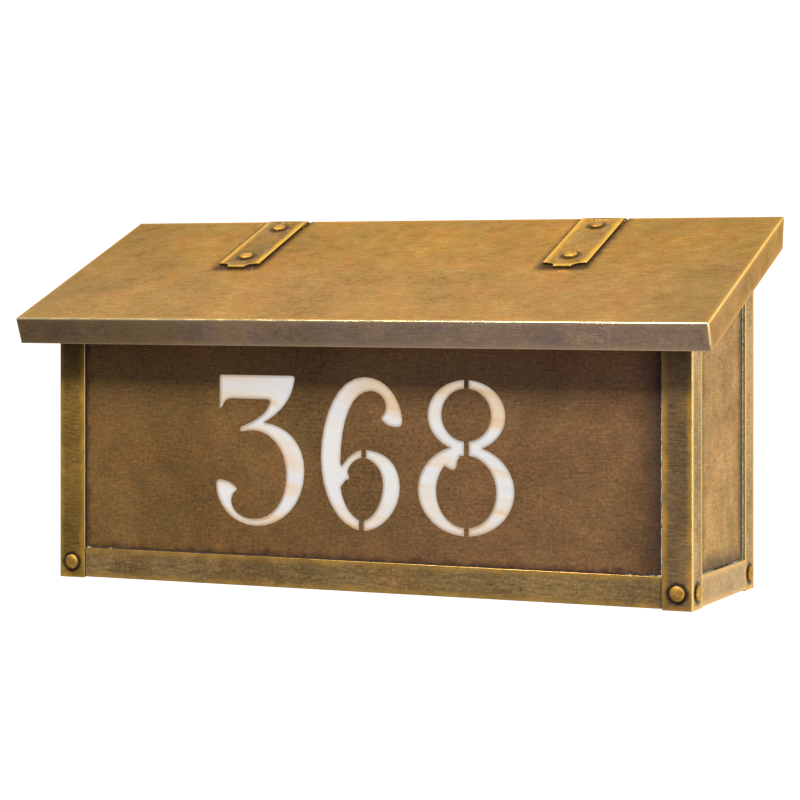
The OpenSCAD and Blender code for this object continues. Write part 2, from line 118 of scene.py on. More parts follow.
openingX = box["halfWidth"] - box["postWidth"]
openingZ = box["railZ"] + box["railHeight"]
frontFace = box["frontY"] + box["stripThickness"]
sideFace = box["halfWidth"] - box["stripThickness"]
sideFront = box["frontY"] + box["postWidth"]
sideBack = box["backY"] - box["postWidth"]
plateY = box["backY"] - box["plateThickness"]


# shader helpers: a socket is joined, a number or colour is set
def feed(tree, socket, value):
    if isinstance(value, bpy.types.NodeSocket):
        tree.links.new(value, socket)
    elif value is not None:
        socket.default_value = value


def mathOf(tree, operation, a, b=None):
    step = tree.nodes.new("ShaderNodeMath")
    step.operation = operation
    feed(tree, step.inputs[0], a)
    feed(tree, step.inputs[1], b)
    return step.outputs[0]


def plus(tree, a, b):
    return mathOf(tree, "ADD", a, b)


def minus(tree, a, b):
    return mathOf(tree, "SUBTRACT", a, b)


def times(tree, a, b):
    return mathOf(tree, "MULTIPLY", a, b)


def larger(tree, a, b):
    return mathOf(tree, "MAXIMUM", a, b)


def smaller(tree, a, b):
    return mathOf(tree, "MINIMUM", a, b)


def vectorOf(tree, operation, a, b=None):
    step = tree.nodes.new("ShaderNodeVectorMath")
    step.operation = operation
    feed(tree, step.inputs[0], a)
    feed(tree, step.inputs[1], b)
    return step.outputs["Value" if operation == "LENGTH" else "Vector"]


def fade(tree, value, start, end, low=0.0, high=1.0):
    step = tree.nodes.new("ShaderNodeMapRange")
    step.interpolation_type = "SMOOTHSTEP"
    feed(tree, step.inputs["Value"], value)
    feed(tree, step.inputs["From Min"], start)
    feed(tree, step.inputs["From Max"], end)
    feed(tree, step.inputs["To Min"], low)
    feed(tree, step.inputs["To Max"], high)
    return step.outputs["Result"]


def blend(tree, factor, a, b, kind="MIX"):
    step = tree.nodes.new("ShaderNodeMix")
    step.data_type = "RGBA"
    step.blend_type = kind
    feed(tree, step.inputs[0], factor)
    feed(tree, step.inputs[6], a)
    feed(tree, step.inputs[7], b)
    return step.outputs[2]


def cloud(tree, vector, scale, detail=4.0, rough=0.55, warp=0.0):
    step = tree.nodes.new("ShaderNodeTexNoise")
    feed(tree, step.inputs["Vector"], vector)
    feed(tree, step.inputs["Scale"], scale)
    feed(tree, step.inputs["Detail"], detail)
    feed(tree, step.inputs["Roughness"], rough)
    feed(tree, step.inputs["Distortion"], warp)
    return step.outputs["Fac"]


def axes(tree, vector):
    step = tree.nodes.new("ShaderNodeSeparateXYZ")
    feed(tree, step.inputs[0], vector)
    return step.outputs


def swing(tree, value, amount):
    # a 0 to 1 cloud made to swing about zero
    return times(tree, minus(tree, value, 0.5), amount)


def attributeOf(tree, name):
    step = tree.nodes.new("ShaderNodeAttribute")
    step.attribute_name = name
    return step.outputs["Fac"]


def bumpOf(tree, shader, height, strength, distance):
    step = tree.nodes.new("ShaderNodeBump")
    step.inputs["Strength"].default_value = strength
    step.inputs["Distance"].default_value = distance
    feed(tree, step.inputs["Height"], height)
    feed(tree, shader.inputs["Normal"], step.outputs[0])


def newGroup(name, inputs, outputs):
    group = bpy.data.node_groups.new(name, "ShaderNodeTree")
    for label, kind, value in inputs:
        socket = group.interface.new_socket(label, in_out="INPUT", socket_type="NodeSocket" + kind)
        if value is not None:
            socket.default_value = value
    for label, kind in outputs:
        group.interface.new_socket(label, in_out="OUTPUT", socket_type="NodeSocket" + kind)
    return group, group.nodes.new("NodeGroupInput").outputs, group.nodes.new("NodeGroupOutput").inputs


def place(tree, group, **values):
    step = tree.nodes.new("ShaderNodeGroup")
    step.node_tree = group
    for label, value in values.items():
        feed(tree, step.inputs[label], value)
    return step.outputs


# a screen value from 0 to 255 as linear light
def linear(value):
    share = value / 255
    return ((share + 0.055) / 1.055) ** 2.4 if value > 10 else share / 12.92


def paint(red, green, blue):
    return (linear(red), linear(green), linear(blue), 1)


print("shader groups")

# distance from a point on a box's surface to the nearest edge of that box
edgeDistance, given, made = newGroup(
    "edgeDistance",
    [("Vector", "Vector", None), ("Low", "Vector", None), ("High", "Vector", None)],
    [("Distance", "Float")],
)
fromLow = vectorOf(edgeDistance, "SUBTRACT", given["Vector"], given["Low"])
fromHigh = vectorOf(edgeDistance, "SUBTRACT", given["High"], given["Vector"])
fromLow = vectorOf(edgeDistance, "ABSOLUTE", fromLow)
fromHigh = vectorOf(edgeDistance, "ABSOLUTE", fromHigh)
nearX, nearY, nearZ = axes(edgeDistance, vectorOf(edgeDistance, "MINIMUM", fromLow, fromHigh))
nearest = smaller(edgeDistance, nearX, nearY)
other = larger(edgeDistance, nearX, nearY)
feed(edgeDistance, made["Distance"], larger(edgeDistance, nearest, smaller(edgeDistance, other, nearZ)))

# painted shadow: a dark ring round a rivet or hole whose axis runs along z of the given vector
ringLook = {
    "ragged": {"scale": 420.0, "detail": 2.0},
    "raggedBy": 2 * mm,
    "solidShare": 0.25,          # of the width, before the ring starts to fade
}
rivetShadow, given, made = newGroup(
    "rivetShadow",
    [
        ("Vector", "Vector", None), ("Centre", "Vector", None),
        ("Radius", "Float", 4 * mm), ("Width", "Float", 3 * mm),
    ],
    [("Shadow", "Float")],
)
offset = vectorOf(rivetShadow, "SUBTRACT", given["Vector"], given["Centre"])
offset = vectorOf(rivetShadow, "MULTIPLY", offset, (1, 1, 0))
beyond = minus(rivetShadow, vectorOf(rivetShadow, "LENGTH", offset), given["Radius"])
wobble = cloud(rivetShadow, given["Vector"], **ringLook["ragged"])
beyond = plus(rivetShadow, beyond, swing(rivetShadow, wobble, ringLook["raggedBy"]))
solid = times(rivetShadow, given["Width"], ringLook["solidShare"])
feed(rivetShadow, made["Shadow"], fade(rivetShadow, beyond, solid, given["Width"], 1.0, 0.0))

# aged brass: cloudy patina, fine mottle, brushed grain, rubbed zones by the edges, bare edges that also
# carry a painted highlight, and a dark mask that mixes in grime and painted shade
brass = {
    "patches": {"scale": 17.0, "detail": 4.0, "rough": 0.5, "warp": 0.4},
    "mottle": {"scale": 85.0, "detail": 5.0, "rough": 0.6, "warp": 0.3},
    "grain": {"scale": 560.0, "detail": 4.0, "rough": 0.65},
    "brushed": {"scale": 1.0, "detail": 3.0, "rough": 0.6},
    "blush": {"scale": 38.0, "detail": 6.0, "rough": 0.6, "warp": 0.5},
    "blushFade": (0.42, 0.66),            # of the blush cloud
    "mottling": 0.8,                      # how far the mottle moves the tone
    "rubRagged": 4 * mm,
    "chipRagged": 1.2 * mm,
    "chips": (0.1 * mm, 0.8 * mm, 0.4),   # from an edge: where they are full and gone, and how bare
    "bareFade": (0.3, 0.6, 0.8, 1.0),     # from mottle to bareness of a worn edge
    "mottleSheen": -0.5,                  # added to the roughness
    "bareSheen": -0.2,
    "dirtAndShadeSheen": 0.12,
    "relief": {"brushed": 1.0, "grain": 0.7, "mottle": 1.4},
    "bareSmooths": 0.8,                   # share of the relief that wear takes away
    "metallic": 0.8,
    "bump": (0.3, 0.1 * mm),              # strength and distance
}
toneNames = ("Dark", "Middle", "Light", "Blush", "Gold", "Bright", "GrimeAndShade")
agedBrass, given, made = newGroup(
    "agedBrass",
    [
        ("Vector", "Vector", None), ("Brushing", "Vector", (150, 1100, 1100)), ("Distance", "Float", 1.0),
        ("Bare", "Float", 0.0), ("Soot", "Float", 0.0), ("Rub", "Float", 0.6), ("Reach", "Float", 4 * mm),
        ("Contrast", "Float", 1.2), ("Clouds", "Float", 1.2), ("Speckle", "Float", 1.7),
        ("Streaks", "Float", 1.0), ("Dullness", "Float", 0.47),
    ] + [(tone, "Color", None) for tone in toneNames],
    [("Color", "Color"), ("Roughness", "Float"), ("Height", "Float")],
)
stretched = vectorOf(agedBrass, "MULTIPLY", given["Vector"], given["Brushing"])
patches = cloud(agedBrass, given["Vector"], **brass["patches"])
mottle = cloud(agedBrass, given["Vector"], **brass["mottle"])
grain = cloud(agedBrass, given["Vector"], **brass["grain"])
brushed = cloud(agedBrass, stretched, **brass["brushed"])
tone = swing(agedBrass, mottle, brass["mottling"])
for layer, amount in ((grain, given["Speckle"]), (brushed, given["Streaks"])):
    tone = plus(agedBrass, tone, swing(agedBrass, layer, amount))
tone = times(agedBrass, tone, given["Contrast"])
tone = plus(agedBrass, tone, swing(agedBrass, patches, given["Clouds"]))
tone = plus(agedBrass, tone, 0.5)
blushed = fade(agedBrass, cloud(agedBrass, given["Vector"], **brass["blush"]), *brass["blushFade"])
metal = blend(agedBrass, blushed, given["Middle"], given["Blush"])
metal = blend(agedBrass, fade(agedBrass, tone, 0.0, 0.5), given["Dark"], metal)
metal = blend(agedBrass, fade(agedBrass, tone, 0.5, 1.0), metal, given["Light"])
rubAt = plus(agedBrass, given["Distance"], swing(agedBrass, mottle, brass["rubRagged"]))
rubbed = times(agedBrass, fade(agedBrass, rubAt, 0.0, given["Reach"], 1.0, 0.0), given["Rub"])
metal = blend(agedBrass, rubbed, metal, given["Gold"])
# the dark mask mixes in the grime tone, which paints both dirt and painted shade
metal = blend(agedBrass, given["Soot"], metal, given["GrimeAndShade"])
chipAt = plus(agedBrass, given["Distance"], swing(agedBrass, grain, brass["chipRagged"]))
chipped = fade(agedBrass, chipAt, *brass["chips"], 0.0)
# bare metal on worn edges, which is also a painted highlight: these take the bright tone
bare = times(agedBrass, given["Bare"], fade(agedBrass, mottle, *brass["bareFade"]))
bare = larger(agedBrass, chipped, bare)
feed(agedBrass, made["Color"], blend(agedBrass, bare, metal, given["Bright"]))
sheen = swing(agedBrass, mottle, brass["mottleSheen"])
sheen = plus(agedBrass, sheen, times(agedBrass, bare, brass["bareSheen"]))
sheen = plus(agedBrass, sheen, times(agedBrass, given["Soot"], brass["dirtAndShadeSheen"]))
feed(agedBrass, made["Roughness"], plus(agedBrass, sheen, given["Dullness"]))
relief = swing(agedBrass, brushed, brass["relief"]["brushed"])
relief = plus(agedBrass, relief, swing(agedBrass, grain, brass["relief"]["grain"]))
relief = plus(agedBrass, relief, swing(agedBrass, mottle, brass["relief"]["mottle"]))
smoothed = minus(agedBrass, 1.0, times(agedBrass, given["Bare"], brass["bareSmooths"]))
feed(agedBrass, made["Height"], times(agedBrass, relief, smoothed))


# starts a material and gives its tree, its shader and the place of the surface in object coordinates
def newMaterial(name):
    material = bpy.data.materials.new(name)
    material.use_nodes = True
    tree = material.node_tree
    shader = tree.nodes["Principled BSDF"]
    spot = tree.nodes.new("ShaderNodeTexCoord").outputs["Object"]
    return material, tree, shader, spot


def turned(tree, vector, spin=(0, 0, 0), start=(0, 0, 0)):
    # the vector as seen from a frame that starts at start and is turned by spin
    step = tree.nodes.new("ShaderNodeMapping")
    step.vector_type = "TEXTURE"
    feed(tree, step.inputs["Vector"], vector)
    feed(tree, step.inputs["Location"], start)
    feed(tree, step.inputs["Rotation"], spin)
    return step.outputs[0]


def foldedX(tree, vector):
    # the left half laid over the right half, so one description serves both
    across = vectorOf(tree, "MULTIPLY", vectorOf(tree, "ABSOLUTE", vector), (1, 0, 0))
    return vectorOf(tree, "ADD", across, vectorOf(tree, "MULTIPLY", vector, (0, 1, 1)))


def edgesOf(tree, vector, low, high):
    return place(tree, edgeDistance, Vector=vector, Low=low, High=high)["Distance"]


# the darkest of the rings round several rivets or holes
def ringsOf(tree, rings):
    shadows = [place(tree, rivetShadow, **ring)["Shadow"] for ring in rings]
    darkest = shadows[0]
    for shadow in shadows[1:]:
        darkest = larger(tree, darkest, shadow)
    return darkest


# sets the brass group in a material and joins it to the shader
def brassFinish(tree, shader, spot, tones, **values):
    look = place(tree, agedBrass, Vector=spot, **values, **tones)
    feed(tree, shader.inputs["Base Color"], look["Color"])
    feed(tree, shader.inputs["Roughness"], look["Roughness"])
    shader.inputs["Metallic"].default_value = brass["metallic"]
    bumpOf(tree, shader, look["Height"], *brass["bump"])


# the tones of a patina made from its middle tone; gold is where it has been rubbed thin, bright is bare
# metal and a painted highlight on rounded edges, and the last tone is grime and painted shade
def tonesOf(middle, blush, gold=None, bright=(255, 226, 164), grimeAndShadeTone=(50, 38, 34), spread=0.16):
    light = [min(255, c * (1 + spread)) for c in middle]
    dark = [c * (1 - spread * 1.2) for c in middle]
    tones = (dark, middle, light, blush, gold or light, bright, grimeAndShadeTone)
    return {name: paint(*tone) for name, tone in zip(toneNames, tones)}


def mixTones(tree, factor, first, second):
    return {name: blend(tree, factor, tone, second[name]) for name, tone in first.items()}


print("materials")
patina = {
    "lidTop": tonesOf((178, 134, 63), (188, 132, 64), (226, 168, 76), (255, 214, 132), (46, 32, 32), 0.2),
    "lidBack": tonesOf((176, 130, 38), (186, 126, 36), (224, 162, 50), (255, 204, 104), (46, 32, 32), 0.2),
    "shadedLipLeft": tonesOf((172, 142, 96), (158, 130, 104), grimeAndShadeTone=(44, 34, 26)),
    "shadedLipRight": tonesOf((176, 150, 118), (160, 136, 124), grimeAndShadeTone=(46, 34, 30)),
    "front": tonesOf((180, 135, 84), (182, 130, 84), grimeAndShadeTone=(56, 46, 46), spread=0.2),
    "frontLeft": tonesOf((178, 135, 74), (182, 132, 70), grimeAndShadeTone=(56, 46, 44), spread=0.2),
    "side": tonesOf((181, 141, 80), (186, 138, 78), grimeAndShadeTone=(84, 62, 54), spread=0.18),
    "post": tonesOf((170, 136, 88), (160, 124, 76), (244, 180, 66), (255, 232, 178), (44, 40, 40), 0.2),
    "postLeft": tonesOf((184, 142, 66), (174, 130, 56), (244, 188, 70), (255, 226, 150), (44, 40, 40), 0.2),
    "litSideLeg": tonesOf((172, 140, 92), (166, 132, 80), (246, 194, 100), (255, 226, 160), (44, 40, 40), 0.2),
    "rail": tonesOf((188, 152, 92), (186, 140, 78), (236, 182, 86), (232, 180, 96), (48, 42, 38), 0.2),
    "litSideRail": tonesOf((198, 166, 122), (196, 156, 110), (240, 196, 128), (240, 194, 120), spread=0.14),
    "strap": tonesOf((166, 124, 46), (172, 120, 46), (246, 190, 62), (255, 204, 84), (44, 36, 40), 0.2),
    "rivet": tonesOf((196, 148, 66), (176, 130, 58), spread=0.22),
    "pin": tonesOf((104, 84, 58), (96, 76, 52)),
    "inside": tonesOf((158, 120, 70), (164, 116, 66)),
}

lidLook = {
    "haloStart": 1 * mm,                          # under the edges of a strap
    "halo": (0.6 * mm, 6.6 * mm, 0.85),           # where the painted shadow is full and gone, and how dark
    "haloCloud": {"scale": 260.0, "detail": 3.0},
    "haloRagged": 4 * mm,
    "top": (0.7 * mm, 0.4 * mm),                  # below the upper face, from inside to top
    "lip": (0.9 * mm, 0.4 * mm),                  # behind the lip's face, from top to lip
    "lipLeftSoot": (-60 * mm, -190 * mm, 0.0, 0.42),    # from here to there, from none to this much painted shade
    "shadedLipRight": (-170 * mm, 50 * mm),             # from the left tones to the right ones
    "back": (-115 * mm, -20 * mm),                # from the front tones to the back ones
    "ends": (90 * mm, 200 * mm, 0.0, 0.9),        # the same, for the painted shade at the lid's ends
    "endFace": (0.4 * mm, 0.9 * mm),              # from the end face, from end to top
    "endShadeTint": (0.8, 0.84, 0.87, 1),
    "brass": {
        "Contrast": 0.85, "Clouds": 0.95, "Speckle": 1.3, "Streaks": 1.5, "Rub": 0.5, "Reach": 4 * mm,
    },
}


def lidMaterial():
    material, tree, shader, spot = newMaterial("lidBrass")
    local = turned(tree, spot, (lid["slope"], 0, 0), (0, lid["pinY"], pinZ))
    signedX = axes(tree, local)[0]
    x, y, z = axes(tree, foldedX(tree, local))
    # painted shadow round the straps, on the upper face only
    beside = mathOf(tree, "ABSOLUTE", minus(tree, x, strap["x"]))
    beside = larger(tree, minus(tree, beside, strap["width"] / 2 - lidLook["haloStart"]), 0.0)
    ahead = minus(tree, times(tree, y, -1.0), strap["tip"] - lidLook["haloStart"])
    ahead = larger(tree, ahead, 0.0)
    away = mathOf(tree, "SQRT", plus(tree, times(tree, beside, beside), times(tree, ahead, ahead)))
    away = plus(tree, away, swing(tree, cloud(tree, local, **lidLook["haloCloud"]), lidLook["haloRagged"]))
    onTop = fade(tree, z, *[lid["rise"] - depth for depth in lidLook["top"]])
    sootAndShade = times(tree, fade(tree, away, *lidLook["halo"], 0.0), onTop)
    # the lip is painted greyer, darker and more even than the top: painted shade and a painted reflection
    # of the floor below, darkest at its left end
    isLip = fade(tree, y, *[depth - lidAhead for depth in lidLook["lip"]])
    sootAndShade = larger(tree, sootAndShade, times(tree, fade(tree, signedX, *lidLook["lipLeftSoot"]), isLip))
    # the ends of the top are painted darker than its middle, a painted shade where the lamp's light falls
    # off
    isInner = fade(tree, x, *[lidHalf - depth for depth in lidLook["endFace"]])
    endShade = times(tree, fade(tree, x, *lidLook["ends"]), isInner)
    tones = mixTones(tree, fade(tree, y, *lidLook["back"]), patina["lidTop"], patina["lidBack"])
    shadedTones = {name: blend(tree, 1.0, tone, lidLook["endShadeTint"], "MULTIPLY") for name, tone in tones.items()}
    tones = mixTones(tree, endShade, tones, shadedTones)
    isRight = fade(tree, signedX, *lidLook["shadedLipRight"])
    lipTones = mixTones(tree, isRight, patina["shadedLipLeft"], patina["shadedLipRight"])
    tones = mixTones(tree, isLip, tones, lipTones)
    distance = edgesOf(tree, local, lidLow, lidHigh)
    brassFinish(tree, shader, local, tones, Distance=distance, Bare=attributeOf(tree, "bareAndHighlightEdge"),
                Soot=sootAndShade, **lidLook["brass"])
    return material


sheetLook = {
    "line": (0.6 * mm, 1.4 * mm, 0.95),     # the black line of grime and painted shade in the corners: full, gone, and how dark
    "lineCloud": {"scale": 700.0, "detail": 3.0},
    "lineRagged": 1.2 * mm,
    "bandCloud": {"scale": 150.0, "detail": 4.0},
    "bandRagged": 8 * mm,
    "leftTones": (-140 * mm, 100 * mm),     # from the left tones to the right ones
    "brass": {"Rub": 0.0, "Contrast": 1.05},
}


# a sheet in a frame whose opening is low to high: a band of soot and painted shade lies along it, a wider
# band of painted shade at the right
def sheetMaterial(name, low, high, tones, spin, sootAndShade, band, rightBand=None, leftTones=None):
    material, tree, shader, spot = newMaterial(name)
    x = axes(tree, spot)[0]
    distance = edgesOf(tree, foldedX(tree, spot), low, high)
    ragged = swing(tree, cloud(tree, spot, **sheetLook["bandCloud"]), sheetLook["bandRagged"])
    thin = swing(tree, cloud(tree, spot, **sheetLook["lineCloud"]), sheetLook["lineRagged"])
    thin = plus(tree, distance, thin)
    bands = fade(tree, plus(tree, distance, ragged), 0.0, band, sootAndShade, 0.0)
    sheetDirtAndShade = larger(tree, fade(tree, thin, *sheetLook["line"], 0.0), bands)
    if rightBand:
        fromRight = plus(tree, minus(tree, high[0], x), ragged)
        sheetDirtAndShade = larger(tree, sheetDirtAndShade, fade(tree, fromRight, 0.0, rightBand, sootAndShade, 0.0))
    if leftTones:
        tones = mixTones(tree, fade(tree, x, *sheetLook["leftTones"]), leftTones, tones)
    brassFinish(tree, shader, turned(tree, spot, (0, 0, spin)), tones, Soot=sheetDirtAndShade, **sheetLook["brass"])
    return material


postLook = {
    "ring": 0.92,                                   # how dark the painted shadow rings round the rivets are
    "underLidShadow": (12 * mm, 36 * mm, 0.0, 0.55),         # painted shadow under the lid, from here up
    "side": (0.6 * mm, 0.2 * mm),                   # from the side face, from front leg to side leg
    "right": (-100 * mm, 100 * mm),
    "brass": {
        "Brushing": (130, 130, 1400), "Contrast": 1.25, "Clouds": 2.4, "Speckle": 0.9, "Streaks": 1.7,
        "Rub": 0.95, "Reach": 4.2 * mm,
    },
}


def postMaterial():
    material, tree, shader, spot = newMaterial("postBrass")
    folded = foldedX(tree, spot)
    outerX = box["halfWidth"]
    front = edgesOf(tree, folded, (openingX, box["frontY"], box["feetZ"]), (outerX, sideFront, far))
    back = edgesOf(tree, folded, (openingX, sideBack, box["feetZ"]), (outerX, box["backY"], far))
    # painted shadow rings round the rivets, seen along y on the front legs and along x on the side legs
    alongY = turned(tree, folded, (math.radians(90), 0, 0))
    alongX = turned(tree, folded, (0, math.radians(90), 0))
    rings = [{"Vector": alongY, "Centre": (outerX - rivet["inset"], rivet["height"], 0)}]
    for y in (box["frontY"] + rivet["inset"], box["backY"] - rivet["inset"]):
        rings.append({"Vector": alongX, "Centre": (-rivet["height"], y, 0)})
    sootAndShade = times(tree, ringsOf(tree, rings), postLook["ring"])
    # the side legs are painted lighter than the front ones, a painted light on the faces the right lamp
    # falls on, and the front ones get a painted shadow under the lid
    x, y, z = axes(tree, folded)
    onSide = fade(tree, x, *[outerX - depth for depth in postLook["side"]])
    isRight = fade(tree, axes(tree, spot)[0], *postLook["right"])
    tones = mixTones(tree, isRight, patina["postLeft"], patina["post"])
    tones = mixTones(tree, onSide, tones, patina["litSideLeg"])
    underLidShadow = times(tree, fade(tree, z, *postLook["underLidShadow"]), minus(tree, 1.0, onSide))
    distance = smaller(tree, front, back)
    brassFinish(tree, shader, spot, tones, Distance=distance, Bare=attributeOf(tree, "bareAndHighlightEdge"),
                Soot=larger(tree, sootAndShade, underLidShadow), **postLook["brass"])
    return material


railLook = {
    "ends": (1.6 * mm, 0.3 * mm, 0.8),      # from a post: where the dark starts and is full, and how dark
    "front": (3.5 * mm, 3 * mm),            # behind the front, from side rail to front rail
    "brass": {"Contrast": 1.25, "Clouds": 1.7, "Streaks": 1.3, "Rub": 0.85, "Reach": 4 * mm},
}


def railMaterial():
    material, tree, shader, spot = newMaterial("railBrass")
    folded = foldedX(tree, spot)
    distance = edgesOf(tree, folded, (-far, box["frontY"], box["railZ"]), (box["halfWidth"], far, openingZ))
    # the ends of the front rail are dark where they meet the posts
    x, y, z = axes(tree, folded)
    start, full, dark = railLook["ends"]
    ends = fade(tree, x, openingX - start, openingX - full, 0.0, dark)
    # the side rails are painted lighter than the front one, a painted light where the right lamp falls
    onFront = fade(tree, y, *[box["frontY"] + depth for depth in railLook["front"]])
    tones = mixTones(tree, onFront, patina["litSideRail"], patina["rail"])
    brassFinish(tree, shader, spot, tones, Distance=distance, Bare=attributeOf(tree, "bareAndHighlightEdge"),
                Soot=times(tree, ends, onFront), **railLook["brass"])
    return material


strapLook = {
    "ring": {"Radius": 3.8 * mm, "Width": 3.6 * mm},
    "ringSoot": 0.8,
    "sides": (0.3 * mm, 0.5 * mm, 0.0, 0.9),        # below the upper face, where the sheared sides are darkened by grime and painted shade
    "flatEnd": (-6.4 * mm, -7.2 * mm),              # the knuckles behind this are not darkened
    "brass": {
        "Brushing": (500, 200, 500), "Contrast": 1.0, "Clouds": 1.8, "Speckle": 1.2,
        "Rub": 0.95, "Reach": 4.5 * mm,
    },
}


def strapMaterial():
    material, tree, shader, spot = newMaterial("strapBrass")
    local = turned(tree, spot, (lid["slope"], 0, 0), (0, lid["pinY"], pinZ))
    folded = foldedX(tree, local)
    half = strap["width"] / 2
    low = (strap["x"] - half, -strap["tip"], -far)
    distance = edgesOf(tree, folded, low, (strap["x"] + half, far, strap["top"]))
    rings = [
        {"Vector": folded, "Centre": (strap["x"], -ahead, 0), **strapLook["ring"]}
        for ahead in strap["rivets"]]
    x, y, z = axes(tree, local)
    start, full, clean, dark = strapLook["sides"]
    sides = fade(tree, z, strap["top"] - start, strap["top"] - full, clean, dark)
    sides = times(tree, sides, fade(tree, y, *strapLook["flatEnd"]))
    sootAndShade = larger(tree, times(tree, ringsOf(tree, rings), strapLook["ringSoot"]), sides)
    brassFinish(tree, shader, local, patina["strap"], Distance=distance, Bare=attributeOf(tree, "bareAndHighlightEdge"),
                Soot=sootAndShade, **strapLook["brass"])
    return material


backLook = {"ring": 0.7, "brass": {"Rub": 0.8, "Reach": 3 * mm}}


# the back plate, with painted shadow rings round its screw holes
def backMaterial():
    material, tree, shader, spot = newMaterial("backBrass")
    folded = foldedX(tree, spot)
    high = (box["halfWidth"], box["backY"], wallTopZ(box["backY"]))
    distance = edgesOf(tree, folded, (-far, plateY, box["feetZ"]), high)
    alongY = turned(tree, folded, (math.radians(90), 0, 0))
    rings = [
        {"Vector": alongY, "Centre": (screwHole["x"], z, 0), "Radius": screwHole["radius"]}
        for z in (-screwHole["z"], screwHole["z"])]
    sootAndShade = times(tree, ringsOf(tree, rings), backLook["ring"])
    brassFinish(tree, shader, spot, patina["inside"], Distance=distance, Soot=sootAndShade, **backLook["brass"])
    return material


# brass that is the same all over, for the small parts
def plainBrass(name, tones, contrast=1.2, dullness=0.47):
    material, tree, shader, spot = newMaterial(name)
    brassFinish(tree, shader, spot, tones, Brushing=(300, 300, 300), Rub=0.0,
                Contrast=contrast, Dullness=dullness)
    return material


seamLook = {
    "green": (0.4, 0.62),                   # of the ragged crust
    "crustCloud": {"scale": 220.0, "detail": 5.0, "rough": 0.65},
    "ragged": 1.6,
    "grainCloud": {"scale": 900.0, "detail": 3.0},
    "grains": (0.35, 0.65),
    # dark solder, which also paints the shade in the corner
    "bare": (44, 36, 28),
    "crust": ((142, 168, 142), (216, 228, 206)),
    "roughness": 0.85,
}


def seamMaterial():
    material, tree, shader, spot = newMaterial("seamPatina")
    ragged = swing(tree, cloud(tree, spot, **seamLook["crustCloud"]), seamLook["ragged"])
    green = fade(tree, plus(tree, attributeOf(tree, "crust"), ragged), *seamLook["green"])
    grains = fade(tree, cloud(tree, spot, **seamLook["grainCloud"]), *seamLook["grains"])
    pale = blend(tree, grains, *[paint(*tone) for tone in seamLook["crust"]])
    feed(tree, shader.inputs["Base Color"], blend(tree, green, paint(*seamLook["bare"]), pale))
    shader.inputs["Roughness"].default_value = seamLook["roughness"]
    return material


glassLook = {
    "tilt": math.radians(7),                # of the wisps
    "driftCloud": {"scale": 17.0, "detail": 3.0},
    "wispStretch": (11, 11, 64),            # per metre, so the wisps are long and level
    "wispCloud": {"scale": 1.0, "detail": 4.0, "rough": 0.5, "warp": 0.5},
    "veinStretch": (20, 20, 130),
    "veinCloud": {"scale": 1.0, "detail": 3.0, "rough": 0.5, "warp": 0.8},
    "wispFade": (0.4, 0.6),                 # of each cloud, where its colour starts and is full
    "driftFade": (0.34, 0.56),
    "veinFade": (0.48, 0.7),
    "coolFade": (0.46, 0.34, 0.0, 0.8),
    "coolRagged": 0.6,
    "white": (229, 226, 221),
    "amber": (230, 206, 177),
    "vein": (228, 188, 134),
    "cool": (222, 221, 220),
    "paintedRimShade": (150, 130, 108),             # painted shade beside the brass that covers the pane
    "paintedRimShadeShare": 0.75,
    "unlit": 0.82,                          # share of the colour taken from the lit surface, so that the painted glow carries it
    "glow": 0.86,                           # a painted glow: the pane shines by itself, though nothing behind it lights it
    "roughness": 0.3,
    "coat": (0.2, 0.1),                     # weight and roughness
    "bump": (0.2, 0.4 * mm),
}


def glassMaterial():
    material, tree, shader, spot = newMaterial("opalGlass")
    drift = cloud(tree, spot, **glassLook["driftCloud"])
    aslant = turned(tree, spot, (0, glassLook["tilt"], 0))
    wisps = vectorOf(tree, "MULTIPLY", aslant, glassLook["wispStretch"])
    wisps = cloud(tree, wisps, **glassLook["wispCloud"])
    veins = vectorOf(tree, "MULTIPLY", aslant, glassLook["veinStretch"])
    veins = cloud(tree, veins, **glassLook["veinCloud"])
    amber = fade(tree, drift, *glassLook["driftFade"])
    amber = times(tree, fade(tree, wisps, *glassLook["wispFade"]), amber)
    colour = blend(tree, amber, paint(*glassLook["white"]), paint(*glassLook["amber"]))
    vein = times(tree, fade(tree, veins, *glassLook["veinFade"]), amber)
    colour = blend(tree, vein, colour, paint(*glassLook["vein"]))
    cool = plus(tree, wisps, swing(tree, veins, glassLook["coolRagged"]))
    cool = fade(tree, cool, *glassLook["coolFade"])
    colour = blend(tree, cool, colour, paint(*glassLook["cool"]))
    # a painted shade darkens the pane near the brass
    paintedRimShade = times(tree, attributeOf(tree, "paintedRimShade"), glassLook["paintedRimShadeShare"])
    colour = blend(tree, paintedRimShade, colour, paint(*glassLook["paintedRimShade"]))
    # the pane is painted as glowing: its lit colour is dimmed and the same colour shines out of it
    feed(tree, shader.inputs["Base Color"], blend(tree, glassLook["unlit"], colour, (0, 0, 0, 1)))
    feed(tree, shader.inputs["Emission Color"], colour)
    shader.inputs["Emission Strength"].default_value = glassLook["glow"]
    shader.inputs["Roughness"].default_value = glassLook["roughness"]
    shader.inputs["Coat Weight"].default_value = glassLook["coat"][0]
    shader.inputs["Coat Roughness"].default_value = glassLook["coat"][1]
    bumpOf(tree, shader, wisps, *glassLook["bump"])
    return material


